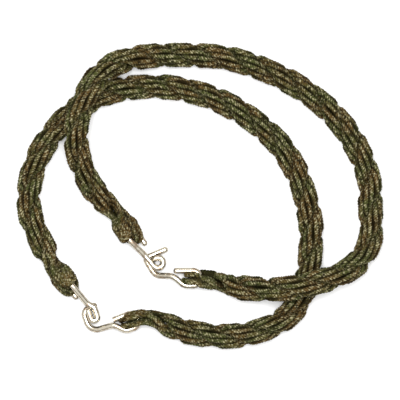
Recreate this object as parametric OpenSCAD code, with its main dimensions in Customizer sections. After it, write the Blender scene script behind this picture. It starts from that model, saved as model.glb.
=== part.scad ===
/* [Elastic band] */
// Diameter of each twisted elastic band
rope_d = 10; // [8.5:0.1:12]
// Diameter of the bundle of rubber threads down the middle of a band
core_d = 4.8; // [3:0.1:6]
// Clearance all round the rubber threads
core_gap = 0.05; // [0.02:0.01:0.2]
// Clearance between the two bands where one lies over the other
band_gap = 0.3; // [0.2:0.05:1]
// Length of the solid end of a band behind the middle of its hook's eye
bight_back = 8.5; // [7:0.1:12]

/* [Hook wire] */
// Diameter of the hook wire
wire_d = 2.5; // [2:0.05:3]
// Radius of the closed eye, to the middle of the wire
eye_r = 3.2; // [2.7:0.05:3.9]
// Length of the eye's free arm past the middle of the eye
free_arm = 7; // [5:0.1:9]
// Clearance between the wire and the elastic that it is threaded through
wire_play = 0.3; // [0.15:0.05:0.5]
// Clearance between the two hooks where one lies over the other
hook_gap = 0.35; // [0.2:0.05:1]
// Bend radius of the small closed curl on the upper left hook, to the middle of the wire
curl_r = 2.15; // [1.7:0.05:2.6]

/* [Hidden] */
$fn = 48;

// A band is a 12-sided tube that lies on one of its flats
sides = 12;
rest_z = rope_d / 2 * cos(180 / sides);
step_up = rope_d + band_gap;

// The round ends of a band are a little slimmer than the tube between its flats
end_inset = 0.1;
bight_r = rest_z - end_inset;

// Heights of the wire: on the ground, and lying over another wire
ground_gap = 0.05;
low_z = wire_d / 2 + ground_gap - rest_z;
high_z = low_z + wire_d + hook_gap;

// Tightest turn that the wire takes, in the lower left hook, and the step across it
tight_r = wire_d / 2 + 0.15;
tight_step = wire_d + 0.5;

// Wire swells a hair where it is bent, and each straight runs a little way into its bends
bend_swell = 0.02;
bite = 0.05;
eye_flat = 0.1;

// The loop of elastic inside an eye, and the slot that the eye swings in
post_r = eye_r - wire_d / 2 - wire_play;
slot_h = wire_d + 2 * wire_play;
slot_back = eye_r + wire_d / 2 + wire_play;
overlap = 0.5;

// Shank of a left hook runs straight until it is nearly clear of the band's round end
lower_left_shank = bight_r - 0.7;
upper_left_shank = bight_r - 1.2;

// Each end of a band: middle of the eye [x, y], heading of the band, and roll of the eye about it
lower_left_end = [[-57, -37.5], -50, 110];
lower_right_end = [[-29.5, -54], 190, 0];
upper_left_end = [[-29.5, -16], -54, 50];
upper_right_end = [[-3, -35.5], 175, 0];

// Routes between the ends, [x, y, lift], where lift 1 clears the other band
lower_route = [
    [-66.5, -23, 0], [-71.5, -12, 0], [-73.5, 0, 0], [-71.5, 11, 0], [-66.5, 22, 0],
    [-59.5, 31, 0], [-51.5, 38, 0], [-41.5, 43.5, 0], [-28, 46.5, 0], [-13, 46.5, 0],
    [1, 43.5, 0], [14, 38, 0], [26, 30, 0], [35.5, 20.5, 0], [42, 9.5, 0], [46, -2.5, 0],
    [48, -15, 0], [47.5, -27, 0], [46, -37, 0], [42.5, -46, 0], [36.5, -53, 0],
    [26, -58, 0], [13, -60.5, 0], [0, -59.5, 0], [-11.5, -56.5, 0]];
upper_route = [
    [-43, -0.5, 0], [-49.5, 10, 0.3], [-52.5, 21.5, 0.85], [-52, 32.5, 1], [-48, 43.5, 1],
    [-41.5, 52.5, 0.85], [-32, 58, 0.35], [-19, 60, 0], [-4.5, 60.5, 0], [9.5, 59.5, 0],
    [23, 56, 0], [37, 50, 0], [49.5, 42, 0], [60.5, 31.5, 0], [68.5, 19, 0], [73, 5.5, 0],
    [73.5, -8, 0], [73.5, -18, 0.1], [70, -26, 0.4], [62.5, -32.5, 0.85], [52, -36.5, 1],
    [40, -39.5, 1], [27.5, -40, 0.55], [15.5, -39, 0.1]];

// Shanks and hooks beyond the eye, [forward, left, up] from the middle of the eye, and their bends
lower_left_bends = [[12.3, 0.9, high_z], [15.8, 2.1, high_z], [20.6, 0.2, high_z],
    [20.6 - 0.3 * tight_step, 0.2 - 0.95 * tight_step, high_z], [15.2, -0.8, high_z]];
lower_left_radii = [3, 1.5, tight_r, tight_r];
lower_right_bends = [[7.5, -1.2, 0], [18, -1.9, low_z], [18, -11.5, low_z],
    [12.5, -11.9, low_z]];
lower_right_radii = [4, 4.5, 3.1];
upper_left_bends = [[11.2, -0.9, high_z], [17.3 + curl_r, 1.9 - curl_r, high_z],
    [17.3 + curl_r, 1.9 + curl_r, high_z], [17.3 - curl_r, 1.9 + curl_r, high_z],
    [17.3 - curl_r, 1.8, high_z]];
upper_left_radii = [4, curl_r, curl_r, curl_r];
upper_right_bends = [[8.5, -1, 0], [16, -1, low_z], [20.6, -8.4, low_z],
    [11.8, -12.2, low_z]];
upper_right_radii = [5, 4, 1.6];

olive = [0.32, 0.29, 0.18];
latex = [0.78, 0.72, 0.58];
nickel = [0.80, 0.77, 0.70];

function unit(v) = v / norm(v);
function heading(a) = [cos(a), sin(a), 0];
function eye_at(end) = [end[0][0], end[0][1], rest_z];
function tube_end(end) = eye_at(end) - bight_back * heading(end[1]);
function lifted(route) = [for (p = route) [p[0], p[1], rest_z + p[2] * step_up]];
function line(first, route, last) = concat([tube_end(first)], lifted(route), [tube_end(last)]);

// Direction of the tube at point i: along the band's end at each end, and smooth between
function along(line, i, first, last) =
    i == 0 ? -heading(first[1]) :
    i == len(line) - 1 ? heading(last[1]) :
    unit(line[i + 1] - line[i - 1]);

// Ring of points round the line at point i, with a flat at the bottom
function ring(centre, t, r) =
    let (across = unit(cross([0, 0, 1], t)), up = cross(t, across))
    [for (k = [0 : sides - 1])
        let (a = 360 * (k + 0.5) / sides)
        centre + r * (cos(a) * across + sin(a) * up)];

// Tube of radius r swept along a line
module tube(line, first, last, r) {
    last_ring = (len(line) - 1) * sides;
    points = [for (i = [0 : len(line) - 1]) each ring(line[i], along(line, i, first, last), r)];
    walls = [for (i = [0 : len(line) - 2], k = [0 : sides - 1])
        let (a = i * sides + k, b = i * sides + (k + 1) % sides)
        each [[a, b + sides, b], [a, a + sides, b + sides]]];
    start_cap = [for (k = [0 : sides - 1]) k];
    end_cap = [for (k = [sides - 1 : -1 : 0]) last_ring + k];
    polyhedron(points, concat(walls, [start_cap, end_cap]));
}

// Round end of a band, with the slot for its hook's eye and the loop of elastic through the eye
module bight(end) {
    translate(eye_at(end)) rotate([0, 0, end[1]]) rotate([-end[2], 0, 0]) {
        difference() {
            union() {
                translate([-bight_back - overlap, 0, 0])
                    rotate([0, 90, 0]) cylinder(h = bight_back + overlap, r = bight_r);
                sphere(r = bight_r);
            }
            translate([-slot_back, -rope_d, -slot_h / 2]) cube([2 * rope_d, 2 * rope_d, slot_h]);
        }
        cylinder(h = slot_h + 2 * overlap, r = post_r, center = true);
    }
}

module cover(first, route, last) {
    axis = line(first, route, last);
    color(olive) difference() {
        union() {
            tube(axis, first, last, rope_d / 2);
            bight(first);
            bight(last);
        }
        tube(axis, first, last, core_d / 2);
    }
}

module core(first, route, last) {
    color(latex) tube(line(first, route, last), first, last, core_d / 2 - core_gap);
}

// Straight wire from a to b
module rod(a, b) {
    run = b - a;
    translate(a) rotate([0, acos(run[2] / norm(run)), atan2(run[1], run[0])])
        cylinder(h = norm(run), d = wire_d);
}

function turn(a, b, c) = acos(max(-1, min(1, unit(b - a) * unit(c - b))));
function setback(a, b, c, r) = r * tan(turn(a, b, c) / 2);

// Bend of radius r at the corner b, between a and c
module elbow(a, b, c, r) {
    into = unit(b - a);
    out = unit(c - b);
    angle = turn(a, b, c);
    axis = unit(cross(into, out));
    start = b - setback(a, b, c, r) * into;
    from_middle = cross(into, axis);
    middle = start - r * from_middle;
    multmatrix([[from_middle[0], into[0], axis[0], middle[0]],
                [from_middle[1], into[1], axis[1], middle[1]],
                [from_middle[2], into[2], axis[2], middle[2]],
                [0, 0, 0, 1]])
        rotate_extrude(angle = angle) translate([r, 0]) circle(d = wire_d + bend_swell);
}

// One length of wire through corners p with bends of radii r, and rounded ends
module bent_wire(p, r) {
    last = len(p) - 1;
    back = [for (i = [0 : last])
        i == 0 || i == last ? 0 : setback(p[i - 1], p[i], p[i + 1], r[i - 1]) - bite];
    translate(p[0]) sphere(d = wire_d - bend_swell);
    translate(p[last]) sphere(d = wire_d - bend_swell);
    for (i = [0 : last - 1])
        rod(p[i] + back[i] * unit(p[i + 1] - p[i]), p[i + 1] - back[i + 1] * unit(p[i + 1] - p[i]));
    for (i = [1 : last - 1])
        elbow(p[i - 1], p[i], p[i + 1], r[i - 1]);
}

// Hook: free arm, closed eye and shank on the side given, then its own bends
module hook(end, swing, side, straight, bends, radii) {
    arm = side * eye_r * [0, cos(end[2]), -sin(end[2])];
    eye = [[free_arm, 0, 0] + arm, [-eye_r, 0, 0] + arm, [-eye_r, 0, 0] - arm,
        [straight, 0, 0] - arm];
    color(nickel) translate(eye_at(end)) rotate([0, 0, end[1] + swing])
        bent_wire(concat(eye, bends), concat([eye_r - eye_flat, eye_r - eye_flat, 4], radii));
}

module lower_band_cover() { cover(lower_left_end, lower_route, lower_right_end); }
module lower_band_core() { core(lower_left_end, lower_route, lower_right_end); }
module upper_band_cover() { cover(upper_left_end, upper_route, upper_right_end); }
module upper_band_core() { core(upper_left_end, upper_route, upper_right_end); }

module lower_left_hook() {
    hook(lower_left_end, 0, 1, lower_left_shank, lower_left_bends, lower_left_radii);
}
module lower_right_hook() { hook(lower_right_end, 11, -1, 3.4, lower_right_bends, lower_right_radii); }
module upper_left_hook() {
    hook(upper_left_end, 0, 1, upper_left_shank, upper_left_bends, upper_left_radii);
}
module upper_right_hook() { hook(upper_right_end, 5, -1, 3.5, upper_right_bends, upper_right_radii); }

lower_band_cover();
lower_band_core();
lower_left_hook();
lower_right_hook();
upper_band_cover();
upper_band_core();
upper_left_hook();
upper_right_hook();
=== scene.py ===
"""A pair of twisted elastic cuff bands, one lying over the other, each closed by two wire hooks."""
import math

import bpy
import numpy as np
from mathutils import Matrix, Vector


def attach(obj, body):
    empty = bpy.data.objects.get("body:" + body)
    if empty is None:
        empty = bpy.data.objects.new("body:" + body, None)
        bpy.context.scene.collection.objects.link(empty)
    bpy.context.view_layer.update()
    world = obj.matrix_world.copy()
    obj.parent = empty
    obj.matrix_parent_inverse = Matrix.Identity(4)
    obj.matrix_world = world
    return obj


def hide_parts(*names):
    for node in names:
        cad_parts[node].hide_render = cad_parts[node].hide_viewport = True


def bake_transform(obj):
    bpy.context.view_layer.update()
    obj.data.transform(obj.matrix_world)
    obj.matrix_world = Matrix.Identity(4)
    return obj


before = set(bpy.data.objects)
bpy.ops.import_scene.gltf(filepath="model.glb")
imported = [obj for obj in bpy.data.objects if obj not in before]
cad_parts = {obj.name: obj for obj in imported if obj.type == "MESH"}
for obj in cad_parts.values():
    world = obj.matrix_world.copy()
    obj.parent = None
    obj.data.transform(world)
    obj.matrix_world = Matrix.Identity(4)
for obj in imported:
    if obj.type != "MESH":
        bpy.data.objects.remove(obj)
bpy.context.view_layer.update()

# Camera: straight above the middle of the bands, far off with a long lens, so that nothing leans.
VIEW_WIDTH = 0.172
VIEW_MIDDLE = (0.0002, -0.0019, 0.0048)
LENS = 300
SENSOR = 36
camera_data = bpy.data.cameras.new("camera")
camera_data.lens = LENS
camera_data.sensor_width = SENSOR
camera = bpy.data.objects.new("camera", camera_data)
bpy.context.scene.collection.objects.link(camera)
camera.location = (VIEW_MIDDLE[0], VIEW_MIDDLE[1], VIEW_MIDDLE[2] + VIEW_WIDTH * LENS / SENSOR)
bpy.context.scene.camera = camera


# Routes of the two bands over the floor. Each lies loose in a ring, and the upper one climbs over
# the lower one twice. A point is (x, y, lift), and lift 1 is one band's thickness up.
BAND_THICK = 0.010
BAND_SIDES = 12
REST_Z = BAND_THICK / 2 * math.cos(math.pi / BAND_SIDES)
STEP_UP = 0.0103
END_STRAIGHT = 0.0085
LOWER_ROUTE = [
    (-0.0665, -0.023, 0), (-0.0715, -0.012, 0), (-0.0735, 0, 0), (-0.0715, 0.011, 0),
    (-0.0665, 0.022, 0), (-0.0595, 0.031, 0), (-0.0515, 0.038, 0), (-0.0415, 0.0435, 0),
    (-0.028, 0.0465, 0), (-0.013, 0.0465, 0), (0.001, 0.0435, 0), (0.014, 0.038, 0),
    (0.026, 0.030, 0), (0.0355, 0.0205, 0), (0.042, 0.0095, 0), (0.046, -0.0025, 0),
    (0.048, -0.015, 0), (0.0475, -0.027, 0), (0.046, -0.037, 0), (0.0425, -0.046, 0),
    (0.0365, -0.053, 0), (0.026, -0.058, 0), (0.013, -0.0605, 0), (0, -0.0595, 0),
    (-0.0115, -0.0565, 0)]
UPPER_ROUTE = [
    (-0.043, -0.0005, 0), (-0.0495, 0.010, 0.3), (-0.0525, 0.0215, 0.85), (-0.052, 0.0325, 1),
    (-0.048, 0.0435, 1), (-0.0415, 0.0525, 0.85), (-0.032, 0.058, 0.35), (-0.019, 0.060, 0),
    (-0.0045, 0.0605, 0), (0.0095, 0.0595, 0), (0.023, 0.056, 0), (0.037, 0.050, 0),
    (0.0495, 0.042, 0), (0.0605, 0.0315, 0), (0.0685, 0.019, 0), (0.073, 0.0055, 0),
    (0.0735, -0.008, 0), (0.0735, -0.018, 0.1), (0.070, -0.026, 0.4), (0.0625, -0.0325, 0.85),
    (0.052, -0.0365, 1), (0.040, -0.0395, 1), (0.0275, -0.040, 0.55), (0.0155, -0.039, 0.1)]
# Eye of each hook: middle (x, y), heading of the band's end, and roll of the eye about it, in degrees
LOWER_LEFT_EYE = ((-0.057, -0.0375), -50, 110)
LOWER_RIGHT_EYE = ((-0.0295, -0.054), 190, 0)
UPPER_LEFT_EYE = ((-0.0295, -0.016), -54, 50)
UPPER_RIGHT_EYE = ((-0.003, -0.0355), 175, 0)


def heading(eye):
    return np.array([math.cos(math.radians(eye[1])), math.sin(math.radians(eye[1])), 0.0])


def middle(eye):
    return np.array([*eye[0], REST_Z])


def unit(v):
    return v / np.linalg.norm(v, axis=-1, keepdims=True)


def smooth_line(points, step):
    """Natural cubic curve through the points, and how far along it each place is, evenly spaced."""
    points = np.array(points, float)
    gaps = np.linalg.norm(np.diff(points, axis=0), axis=1)
    knots = np.concatenate([[0], np.cumsum(gaps)])
    count = len(points)
    matrix = np.eye(count)
    right = np.zeros_like(points)
    for i in range(1, count - 1):
        matrix[i, i - 1:i + 2] = gaps[i - 1], 2 * (gaps[i - 1] + gaps[i]), gaps[i]
        slopes = (points[i + 1] - points[i]) / gaps[i] - (points[i] - points[i - 1]) / gaps[i - 1]
        right[i] = 6 * slopes
    curve = np.linalg.solve(matrix, right)
    t = np.linspace(0, knots[-1], 20 * count * count)
    i = np.clip(np.searchsorted(knots, t) - 1, 0, count - 2)
    gap = gaps[i][:, None]
    b = (t - knots[i])[:, None] / gap
    a = 1 - b
    fine = (a * points[i] + b * points[i + 1]
            + ((a ** 3 - a) * curve[i] + (b ** 3 - b) * curve[i + 1]) * gap ** 2 / 6)
    far = np.concatenate([[0], np.cumsum(np.linalg.norm(np.diff(fine, axis=0), axis=1))])
    along = np.linspace(0, far[-1], round(far[-1] / step) + 1)
    return along, np.column_stack([np.interp(along, far, fine[:, k]) for k in range(3)])


def band_line(first, route, last, step):
    """A band's own line, from the middle of its first eye to the middle of its last one."""
    lifted = [(x, y, REST_Z + lift * STEP_UP) for x, y, lift in route]
    return smooth_line([middle(first), middle(first) - END_STRAIGHT * heading(first), *lifted,
                        middle(last) - END_STRAIGHT * heading(last), middle(last)], step)


# Elastic cord: rubber threads in a braided sleeve of olive yarn. Seven cords lie side by side
# in a strand, and the yarns of a sleeve run round it as low slanting ridges.
CORDS = 7
CORD_RADIUS = 0.00108
YARN_DEPTH = 0.00024
YARN_RIDGE = (0.0, 1.0, 0.7)
YARN_UNEVEN = 0.00003
CORD_SIDES = 12
RING_STEP = 0.0004
# A strand's cords lie on an oval, flattened where the two strands press on each other
STRAND_OFFSET = 0.00262
OVAL_OUT = 0.0016
OVAL_ACROSS = 0.0031
CORD_TURN = -0.60
BAND_FLATTEN = 0.9
# Round the hook's eye the cords lie in two staggered columns, looped over the eye's end
EYE_RADIUS = 0.0032
LOOP_FIRST = 0.0024
LOOP_STEP = 0.0015
LOOP_LOW = 0.0020
ARM_LOW = 0.0007
ARM_CLOSED = 0.0065
LOOP_RISE = 0.00072
LOOP_COLUMN = 0.00108
LOOP_BULGE = 0.00020
LOOP_SQUARE = 0.65
ARM_SQUEEZE = 0.62
TIP_SQUEEZE = 0.85
# At the left ends the loops reach a little further, and towards their tips they draw together
LEFT_REACH = 0.0004
LOWER_LEFT_TAPER = 0.05
UPPER_LEFT_TAPER = 0.30
# At three ends some loops also lie over the wire: distance to each side, how far off the middle
# their tips and their arms are, and their reach
OVER_SHANK = [(0.0008, 0.0055, 0.0055, 0.0027), (0.0022, 0.0055, 0.0048, 0.0035),
              (0.0033, 0.0055, 0.0036, 0.0043)]
OVER_ARM = [(0.0023, 0.0010, 0.0034, 0.0068), (0.0030, 0.0008, 0.0027, 0.0074)]
GATHER_START = 0.018
GATHER_END = 0.0085
SEAM = 0.0092
# How far out the loops at an eye count as facing for the painted shade between cords, and how evenly
LOOP_FACING = 0.6
LOOP_EVEN = 0.6
FLOOR_SOFT = 0.00035

rng = np.random.default_rng(7)


def smoothstep(x):
    x = np.clip(x, 0, 1)
    return x * x * (3 - 2 * x)


def oval_place(turns):
    """Place on the oval after a share of the way round it, as (out, across)."""
    angle = np.linspace(0, 2 * math.pi, 721)
    place = np.column_stack([OVAL_OUT * np.cos(angle), OVAL_ACROSS * np.sin(angle)])
    far = np.concatenate([[0], np.cumsum(np.linalg.norm(np.diff(place, axis=0), axis=1))])
    share = np.mod(turns, 1) * far[-1]
    return np.stack([np.interp(share, far, place[:, 0]), np.interp(share, far, place[:, 1])], -1)


def loop_slots():
    """The places of the cords at an eye, as (layer, column): one column of four, one of three."""
    return [(layer, 1) for layer in range(4)] + [(layer + 0.5, -1) for layer in range(3)]


def eye_axes(eye):
    """Forward, normal and crosswise directions of an eye."""
    forward = heading(eye)
    left = np.array([-forward[1], forward[0], 0.0])
    up = np.array([0.0, 0.0, 1.0])
    roll = math.radians(eye[2])
    return forward, math.sin(roll) * left + math.cos(roll) * up, math.cos(roll) * left - math.sin(roll) * up


def ripple(along, size, period):
    """A slow irregular wander, the sum of a few waves."""
    total = np.zeros_like(along)
    for k in range(4):
        total += np.sin(2 * math.pi * along / (period * (0.6 + 0.35 * k)) + rng.uniform(0, 2 * math.pi))
    return size * total / 2


class Band:
    """The lines of all the cords of one band, for its two strands and its two end loops."""

    def __init__(self, first, route, last, twist):
        self.first, self.last = first, last
        self.along, self.line = band_line(first, route, last, RING_STEP)
        self.length = self.along[-1]
        tangent = unit(np.gradient(self.line, axis=0))
        self.side = unit(np.cross([0, 0, 1], tangent))
        self.up = np.cross(tangent, self.side)
        places, halves = zip(*twist)
        fine = np.interp(self.along, places, halves)
        width = round(0.012 / RING_STEP)
        padded = np.pad(fine, width, "edge")
        kernel = np.hanning(2 * width + 1)
        self.angle = math.pi * np.convolve(padded, kernel / kernel.sum(), "valid")
        from_end = np.minimum(self.along, self.length - self.along)
        self.gather = 1 - smoothstep((from_end - GATHER_END) / (GATHER_START - GATHER_END))
        closing = smoothstep((from_end - EYE_RADIUS) / (ARM_CLOSED - EYE_RADIUS))
        self.low = LOOP_LOW - (LOOP_LOW - ARM_LOW) * closing
        self.strands = [self.strand(k) for k in range(2)]

    def strand(self, which):
        """The cords of one strand as lines along the whole band, and each one's slot at each end."""
        angle = self.angle + math.pi * which
        out = np.cos(angle)[:, None] * self.side + np.sin(angle)[:, None] * self.up
        across = -np.sin(angle)[:, None] * self.side + np.cos(angle)[:, None] * self.up
        turns = -(1 - CORD_TURN) * self.angle / (2 * math.pi)
        places = [oval_place(turns + k / CORDS) for k in range(CORDS)]
        half = len(self.along) // 2
        ends = []
        for eye, at in ((self.first, 0), (self.last, -1)):
            crosswise = eye_axes(eye)[2]
            sign = 1 if across[at] @ crosswise > 0 else -1
            slots = [(layer * LOOP_RISE - STRAND_OFFSET,
                      sign * column * (LOOP_COLUMN + layer * LOOP_BULGE))
                     for layer, column in loop_slots()]
            order = sorted(range(CORDS), key=lambda n: math.atan2(
                slots[n][1], slots[n][0] + STRAND_OFFSET - 1.5 * LOOP_RISE))
            gathered = np.argmin(abs(np.arange(len(self.along)) * (at == 0)
                                     + (len(self.along) - 1 - np.arange(len(self.along))) * (at == -1)
                                     - GATHER_END / RING_STEP))
            best = min(range(CORDS), key=lambda shift: sum(
                np.hypot(*(places[k][gathered] - slots[order[(k + shift) % CORDS]] - [ARM_LOW, 0]))
                for k in range(CORDS)))
            ends.append([(order[(k + best) % CORDS], slots[order[(k + best) % CORDS]])
                         for k in range(CORDS)])
        lines = []
        for k in range(CORDS):
            slot = np.where(np.arange(len(self.along))[:, None] < half, ends[0][k][1], ends[1][k][1])
            wander = np.column_stack([ripple(self.along, 0.00012, 0.05), ripple(self.along, 0.0002, 0.05)])
            place = places[k] + wander
            slot = slot + np.column_stack([self.low, 0 * self.low])
            local = place + self.gather[:, None] * (slot - place)
            offset = (STRAND_OFFSET + local[:, :1]) * out + local[:, 1:] * across
            lines.append(offset)
        return {"offsets": lines, "out": out, "slots": [[e[k][0] for k in range(CORDS)] for e in ends]}


def flattened(points, middle_line):
    """Points of a band, pressed a little flat by its weight, and kept above the floor."""
    points = points.copy()
    points[..., 2] = middle_line[..., 2] + BAND_FLATTEN * (points[..., 2] - middle_line[..., 2])
    z = points[..., 2]
    points[..., 2] = (z + np.sqrt(z * z + FLOOR_SOFT ** 2)) / 2
    return points


def boxy(wave):
    """A sine or cosine pushed outwards, which squares off the turn that it makes."""
    return np.sign(wave) * abs(wave) ** LOOP_SQUARE


class Tubes:
    """Closed tubes gathered into one mesh, with the yarn ridges and the values that colour them."""

    def __init__(self):
        self.points, self.faces, self.values, self.count = [], [], [], 0
        self.caps = []

    def add(self, line, middle_line, outward, squeeze, gather, shade, reference):
        """One cord: its line, what it lies round, which way it is squeezed and how much, and where it
        is gathered at an eye."""
        tangent = unit(np.gradient(line, axis=0))
        side = unit(reference - (reference * tangent).sum(1, keepdims=True) * tangent)
        other = np.cross(tangent, side)
        rings = len(line)
        ring = np.arange(rings)[:, None]
        corner = np.arange(CORD_SIDES)[None, :]
        angle = 2 * math.pi * (corner + ring) / CORD_SIDES
        crest = np.broadcast_to(np.array(YARN_RIDGE)[corner % len(YARN_RIDGE)], angle.shape)
        radius = CORD_RADIUS * (1 + ripple(np.arange(rings) * RING_STEP, 0.04, 0.03))[:, None]
        radius = radius + (crest - 0.5) * YARN_DEPTH + rng.normal(0, YARN_UNEVEN, crest.shape)
        offset = radius[..., None] * (np.cos(angle)[..., None] * side[:, None]
                                      + np.sin(angle)[..., None] * other[:, None])
        pressed = (offset * outward[:, None]).sum(-1, keepdims=True) * outward[:, None]
        # facing: how far each point faces out from its strand; the yarn material paints shade on the inner
        # sides from it, and near an eye it is evened towards a fixed value
        facing = (unit(offset) * outward[:, None]).sum(-1)
        facing = facing + gather[:, None] * (LOOP_FACING - facing) * LOOP_EVEN
        offset = offset - (1 - squeeze)[:, None, None] * pressed
        points = flattened(line[:, None] + offset, np.broadcast_to(middle_line[:, None], offset.shape))
        self.points.append(points.reshape(-1, 3))
        index = self.count + np.arange(rings * CORD_SIDES).reshape(rings, CORD_SIDES)
        a, b = index[:-1], index[1:]
        quads = np.stack([a, np.roll(a, -1, 1), np.roll(b, -1, 1), b], -1).reshape(-1, 4)
        self.faces.extend(quads.tolist())
        self.faces.append(index[0][::-1].tolist())
        self.faces.append(index[-1].tolist())
        self.caps += [index[0], index[-1]]
        shade = np.broadcast_to(shade[:, None], crest.shape)
        self.values.append(np.stack([crest, facing, shade], -1).reshape(-1, 3))
        self.count += rings * CORD_SIDES

    def piece(self, name):
        mesh = bpy.data.meshes.new(name)
        mesh.from_pydata(np.concatenate(self.points).tolist(), [], self.faces)
        values = np.concatenate(self.values)
        for k, value_name in enumerate(("crest", "facing", "shade")):
            attribute = mesh.attributes.new(value_name, "FLOAT", "POINT")
            attribute.data.foreach_set("value", values[:, k].astype(np.float32))
        mesh.shade_smooth()
        cap = np.zeros(self.count, bool)
        cap[np.concatenate(self.caps)] = True
        edges = np.zeros(2 * len(mesh.edges), np.int32)
        mesh.edges.foreach_get("vertices", edges)
        edges = edges.reshape(-1, 2)
        same_ring = edges[:, 0] // CORD_SIDES == edges[:, 1] // CORD_SIDES
        sharp = mesh.attributes.new("sharp_edge", "BOOLEAN", "EDGE")
        sharp.data.foreach_set("value", cap[edges[:, 0]] & cap[edges[:, 1]] & same_ring)
        piece = bpy.data.objects.new(name, mesh)
        bpy.context.scene.collection.objects.link(piece)
        return piece


class Wire:
    """One value or colour in a material; sums on it add Math nodes."""

    def __init__(self, tree, socket):
        self.tree, self.socket = tree, socket

    def node(self, kind, settings=None, **sockets):
        """A new node of a kind, with its settings made first and then its sockets' values or links."""
        made = self.tree.nodes.new(kind)
        for name, value in (settings or {}).items():
            if name == "stops":
                ramp = made.color_ramp
                while len(ramp.elements) < len(value):
                    ramp.elements.new(1)
                for element, (place, colour) in zip(ramp.elements, value):
                    element.position = place
                    element.color = (*colour, 1)
            else:
                setattr(made, name, value)
        for name, value in sockets.items():
            socket = made.inputs[int(name[1:]) if name[0] == "_" else name.replace("_", " ")]
            if isinstance(value, Wire):
                self.tree.links.new(value.socket, socket)
            else:
                socket.default_value = value
        return made

    def value(self, kind, output, settings=None, **sockets):
        return Wire(self.tree, self.node(kind, settings, **sockets).outputs[output])

    def maths(self, operation, *values):
        sockets = {f"_{k}": value for k, value in enumerate(values)}
        return self.value("ShaderNodeMath", "Value", {"operation": operation}, **sockets)

    def mix(self, share, first, second):
        """Colour mix, from first to second."""
        return self.value("ShaderNodeMix", 2, {"data_type": "RGBA"}, _0=share, _6=first, _7=second)

    def __add__(self, other): return self.maths("ADD", self, other)
    def __radd__(self, other): return self.maths("ADD", other, self)
    def __sub__(self, other): return self.maths("SUBTRACT", self, other)
    def __rsub__(self, other): return self.maths("SUBTRACT", other, self)
    def __mul__(self, other): return self.maths("MULTIPLY", self, other)
    def __rmul__(self, other): return self.maths("MULTIPLY", other, self)
    def __truediv__(self, other): return self.maths("DIVIDE", self, other)


def new_material(name):
    """An empty material: its tree, its shader, and a place to start sums from."""
    material = bpy.data.materials.new(name)
    material.use_nodes = True
    shader = material.node_tree.nodes["Principled BSDF"]
    return material, shader, Wire(material.node_tree, None)


OLIVE_SHADE_AND_SPECKS = (0.007, 0.005, 0.001, 1)
OLIVE = (0.088, 0.072, 0.022, 1)
OLIVE_GREEN = (0.060, 0.080, 0.022, 1)
OLIVE_BROWN = (0.110, 0.056, 0.016, 1)
YARN_GLINT = (0.45, 0.41, 0.24, 1)


def yarn_material():
    material, shader, start = new_material("olive_braid")
    crest = start.value("ShaderNodeAttribute", "Fac", {"attribute_name": "crest"})
    facing = start.value("ShaderNodeAttribute", "Fac", {"attribute_name": "facing"})
    shade = start.value("ShaderNodeAttribute", "Fac", {"attribute_name": "shade"})
    place = start.value("ShaderNodeTexCoord", "Object")
    patches = start.value("ShaderNodeTexNoise", "Fac", Vector=place, Scale=110.0, Detail=2.0)
    glint_noise = start.value("ShaderNodeTexNoise", "Fac", Vector=place, Scale=1150.0, Detail=1.5)
    speckle = start.value("ShaderNodeTexNoise", "Fac", Vector=place, Scale=640.0, Detail=2.0)
    fine = start.value("ShaderNodeTexNoise", "Fac", Vector=place, Scale=4200.0, Detail=2.0)
    hue = start.value("ShaderNodeMapRange", "Result", _0=patches + (shade - 0.5) * 0.4, _1=0.38, _2=0.62)
    colour = start.mix(hue, OLIVE_BROWN, OLIVE_GREEN)
    colour = start.mix(0.35, colour, OLIVE)
    outer = start.value("ShaderNodeMapRange", "Result", _0=facing, _1=0.1, _2=0.8)
    # Painted highlight: pale glints scattered on the outward-facing yarn ridges
    glint = start.value("ShaderNodeMapRange", "Result", _0=glint_noise, _1=0.50, _2=0.62)
    colour = start.mix(glint * (0.35 + crest * 0.65) * outer, colour, YARN_GLINT)
    # Painted shade: near black on the sides of the cords that face in towards their neighbours and in the
    # grooves between yarn ridges, with random dark specks on top
    pit = start.value("ShaderNodeMapRange", "Result", _0=speckle, _1=0.46, _2=0.32)
    depth = start.value("ShaderNodeMapRange", "Result", _0=facing, _1=-0.1, _2=0.75)
    painted_shade_share = (1 - depth) * (0.35 + speckle) + (1 - crest) * 0.55 + pit * 0.8
    colour = start.mix(start.maths("MINIMUM", painted_shade_share, 0.92), colour, OLIVE_SHADE_AND_SPECKS)
    bump = start.value("ShaderNodeBump", "Normal", Height=fine, Strength=0.5, Distance=0.0001)
    links = material.node_tree.links
    links.new(colour.socket, shader.inputs["Base Color"])
    links.new(bump.socket, shader.inputs["Normal"])
    shader.inputs["Roughness"].default_value = 0.8
    shader.inputs["Specular IOR Level"].default_value = 0.06
    return material


olive_braid = yarn_material()


def strand_piece(band, which, name):
    """One strand of a band between its two seams."""
    tubes = Tubes()
    strand = band.strands[which]
    first = round(SEAM / RING_STEP)
    keep = slice(first, len(band.along) - first)
    for k, offset in enumerate(strand["offsets"]):
        line = (band.line + offset)[keep]
        strand_middle = (band.line + STRAND_OFFSET * strand["out"])[keep]
        outward = unit(line - strand_middle)
        gather = band.gather[keep]
        outward = unit(outward + gather[:, None] * 3 * strand["out"][keep])
        shade = 0.5 + ripple(band.along[keep], 0.22, 0.05) + rng.uniform(-0.2, 0.2)
        tubes.add(line, band.line[keep], outward, 1 - (1 - ARM_SQUEEZE) * gather, gather, shade,
                  band.side[keep])
    return tubes.piece(name)


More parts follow.
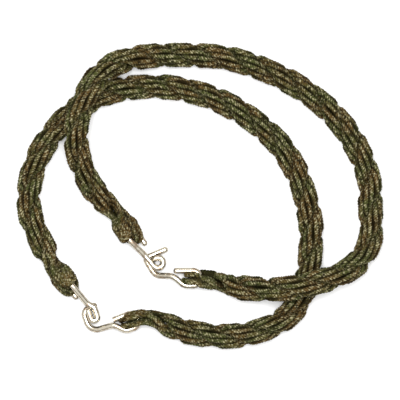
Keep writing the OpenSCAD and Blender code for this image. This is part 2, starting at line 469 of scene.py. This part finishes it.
def loop_piece(band, at, over, further, taper, name):
    """The loops of elastic at one end: along one strand, round the end of the eye, and back."""
    tubes = Tubes()
    eye = band.first if at == 0 else band.last
    forward, normal, crosswise = eye_axes(eye)
    seam = round(SEAM / RING_STEP)
    straight = round(EYE_RADIUS / RING_STEP)
    rows = np.arange(seam, straight - 1, -1)
    if at:
        rows = len(band.along) - 1 - rows
    upper = 0 if band.strands[0]["out"][at] @ normal > 0 else 1
    near, far = band.strands[upper], band.strands[1 - upper]
    root = middle(eye) - EYE_RADIUS * forward
    for slot, (layer, column) in enumerate(loop_slots()):
        k = near["slots"][at].index(slot)
        other = far["slots"][at].index(slot)
        go = (band.line + near["offsets"][k])[rows]
        back = (band.line + far["offsets"][other])[rows][::-1]
        long = LOOP_FIRST + layer * (LOOP_STEP + further)
        high = LOOP_LOW + layer * LOOP_RISE
        turns = round(math.pi * (long + high) / 2 / RING_STEP)
        turn = np.linspace(0, math.pi, turns + 1)[1:-1, None]
        reach, rise = boxy(np.sin(turn)), boxy(np.cos(turn))
        sideways = column * (LOOP_COLUMN + layer * LOOP_BULGE * abs(rise))
        narrowed = high * (1 - taper * reach) * rise
        round_eye = root + long * reach * forward + narrowed * normal + sideways * crosswise
        line = np.concatenate([go, round_eye, back])
        bend = np.concatenate([np.zeros(len(go)), np.sin(turn[:, 0]), np.zeros(len(back))])
        arm_out = np.concatenate([np.tile(normal, (len(go), 1)),
                                  unit(np.sin(turn) / long * forward + np.cos(turn) / high * normal),
                                  np.tile(-normal, (len(back), 1))])
        gather = np.concatenate([band.gather[rows], np.ones(len(round_eye)), band.gather[rows][::-1]])
        squeeze = 1 - (1 - ARM_SQUEEZE - (TIP_SQUEEZE - ARM_SQUEEZE) * bend) * gather
        middle_line = np.tile(middle(eye), (len(line), 1))
        middle_line[:len(go)] = band.line[rows]
        middle_line[-len(back):] = band.line[rows][::-1]
        shade = 0.5 + ripple(np.arange(len(line)) * RING_STEP, 0.22, 0.05)
        reference = np.tile(crosswise, (len(line), 1))
        tubes.add(line, middle_line, arm_out, squeeze, gather, shade, reference)
    for slot, (side_on, tip_off, arm_off, long) in zip((4, 5, 6), over):
        start_go = (band.line + near["offsets"][near["slots"][at].index(slot)])[rows]
        start_back = (band.line + far["offsets"][far["slots"][at].index(slot)])[rows]
        climb = smoothstep(np.linspace(0, 1.35, len(rows)))[:, None]
        ahead = root + ((start_go - root) @ forward)[:, None] * forward - arm_off * crosswise
        go = start_go + climb * (ahead + side_on * normal - start_go)
        back = (start_back + climb * (ahead - side_on * normal - start_back))[::-1]
        turns = round(math.pi * (long + side_on) / 2 / RING_STEP)
        turn = np.linspace(0, math.pi, turns + 1)[1:-1, None]
        off = tip_off + (arm_off - tip_off) * np.cos(turn) ** 2
        tip = root + long * boxy(np.sin(turn)) * forward + side_on * boxy(np.cos(turn)) * normal
        line = np.concatenate([go, tip - off * crosswise, back])
        full = np.ones(len(line))
        shade = 0.5 + ripple(np.arange(len(line)) * RING_STEP, 0.22, 0.05)
        tubes.add(line, np.tile(middle(eye), (len(line), 1)), np.tile(-crosswise, (len(line), 1)),
                  0.8 * full, full, shade, np.tile(crosswise, (len(line), 1)))
    return tubes.piece(name)


def make_band(name, first, route, last, twist, right_over, taper):
    band = Band(first, route, last, twist)
    body = name + "_band"
    strands = [strand_piece(band, k, f"{body}_strand_{'ab'[k]}") for k in range(2)]
    loops = [loop_piece(band, 0, OVER_SHANK, LEFT_REACH, taper, body + "_left_loop"),
             loop_piece(band, -1, right_over, 0, 0, body + "_right_loop")]
    for piece in strands + loops:
        piece.data.materials.append(olive_braid)
    for piece in strands:
        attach(piece, body)
    for loop, eye, hook in ((loops[0], first, "_left_hook"), (loops[1], last, "_right_hook")):
        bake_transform(loop)
    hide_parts(body + "_cover")
    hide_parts(body + "_core")


# Twist of each band: how many half turns its strands have made at places along it
LOWER_TWIST = [(0.005, -1), (0.020, 0), (0.063, 3), (0.115, 7), (0.2175, 15), (0.316, 22),
               (0.323, 22.5)]
UPPER_TWIST = [(0.008, -1.222), (0.013, -1), (0.027, 0), (0.104, 5), (0.2345, 15), (0.3265, 21),
               (0.332, 21.5)]
make_band("lower", LOWER_LEFT_EYE, LOWER_ROUTE, LOWER_RIGHT_EYE, LOWER_TWIST, OVER_ARM,
          LOWER_LEFT_TAPER)
make_band("upper", UPPER_LEFT_EYE, UPPER_ROUTE, UPPER_RIGHT_EYE, UPPER_TWIST, [], UPPER_LEFT_TAPER)


# Hooks: spring wire with a bright nickel plate, bent cold to a closed eye and an open catch.
NICKEL = (0.74, 0.68, 0.55, 1)
STAIN = (0.34, 0.22, 0.13, 1)
WIRE_FLANK_SHADE = (0.045, 0.034, 0.026, 1)


def wire_material():
    material, shader, start = new_material("nickel_wire")
    place = start.value("ShaderNodeTexCoord", "Object")
    stain = start.value("ShaderNodeTexNoise", "Fac", Vector=place, Scale=420.0, Detail=3.0)
    stain = start.value("ShaderNodeMapRange", "Result", _0=stain, _1=0.48, _2=0.62)
    colour = start.mix(stain * 0.7, NICKEL, STAIN)
    # Painted shade: the sides of the wire, where its normal turns away from upright, are painted near
    # black, more so where it is stained
    upright = start.value("ShaderNodeSeparateXYZ", "Z", _0=start.value("ShaderNodeTexCoord", "Normal"))
    flank = start.value("ShaderNodeMapRange", "Result", _0=upright, _1=0.60, _2=0.30)
    colour = start.mix(flank * (0.6 + stain * 0.4), colour, WIRE_FLANK_SHADE)
    scratch = start.value("ShaderNodeTexNoise", "Fac", Vector=place, Scale=3000.0, Detail=2.0)
    bump = start.value("ShaderNodeBump", "Normal", Height=scratch, Strength=0.2, Distance=0.00003)
    links = material.node_tree.links
    links.new(colour.socket, shader.inputs["Base Color"])
    links.new((0.16 + stain * 0.2).socket, shader.inputs["Roughness"])
    links.new(bump.socket, shader.inputs["Normal"])
    shader.inputs["Metallic"].default_value = 1.0
    shader.inputs["Specular Tint"].default_value = (0.35, 0.30, 0.24, 1)
    return material


nickel_wire = wire_material()
for name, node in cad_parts.items():
    if name.endswith("_hook"):
        node.data.materials.clear()
        node.data.materials.append(nickel_wire)


# Studio: a plain white floor, a broad soft light overhead and a smaller one to one side.
FLOOR_HALF = 1.5
bpy.ops.mesh.primitive_plane_add(size=2 * FLOOR_HALF)
floor = bpy.context.object
floor.name = "floor"
floor_material, floor_shader, _ = new_material("white_paper")
floor_shader.inputs["Base Color"].default_value = (0.95, 0.95, 0.95, 1)
floor_shader.inputs["Roughness"].default_value = 0.9
floor_shader.inputs["Specular IOR Level"].default_value = 0.0
floor.data.materials.append(floor_material)

for name, energy, size, place in (("overhead", 9, 0.4, (0.0, 0.06, 1.0)),
                                  ("side", 1.2, 0.3, (-0.25, 0.35, 0.9))):
    light_data = bpy.data.lights.new(name, "AREA")
    light_data.energy = energy
    light_data.size = size
    light = bpy.data.objects.new(name, light_data)
    bpy.context.scene.collection.objects.link(light)
    light.location = place
    light.rotation_euler = (-Vector(place)).to_track_quat("-Z", "Y").to_euler()

# The studio itself: pale overhead, and dim towards its walls
world = bpy.data.worlds.new("studio")
world.use_nodes = True
sky = Wire(world.node_tree, None)
height = sky.value("ShaderNodeTexCoord", "Generated")
height = sky.value("ShaderNodeSeparateXYZ", "Z", _0=height)
height = sky.value("ShaderNodeMapRange", "Result", _0=height, _1=0.2, _2=0.6)
background = world.node_tree.nodes["Background"]
world.node_tree.links.new(sky.mix(height, (0.02, 0.02, 0.02, 1), (1, 1, 1, 1)).socket,
                          background.inputs["Color"])
background.inputs["Strength"].default_value = 0.9
bpy.context.scene.world = world
bpy.context.scene.view_settings.view_transform = "Standard"
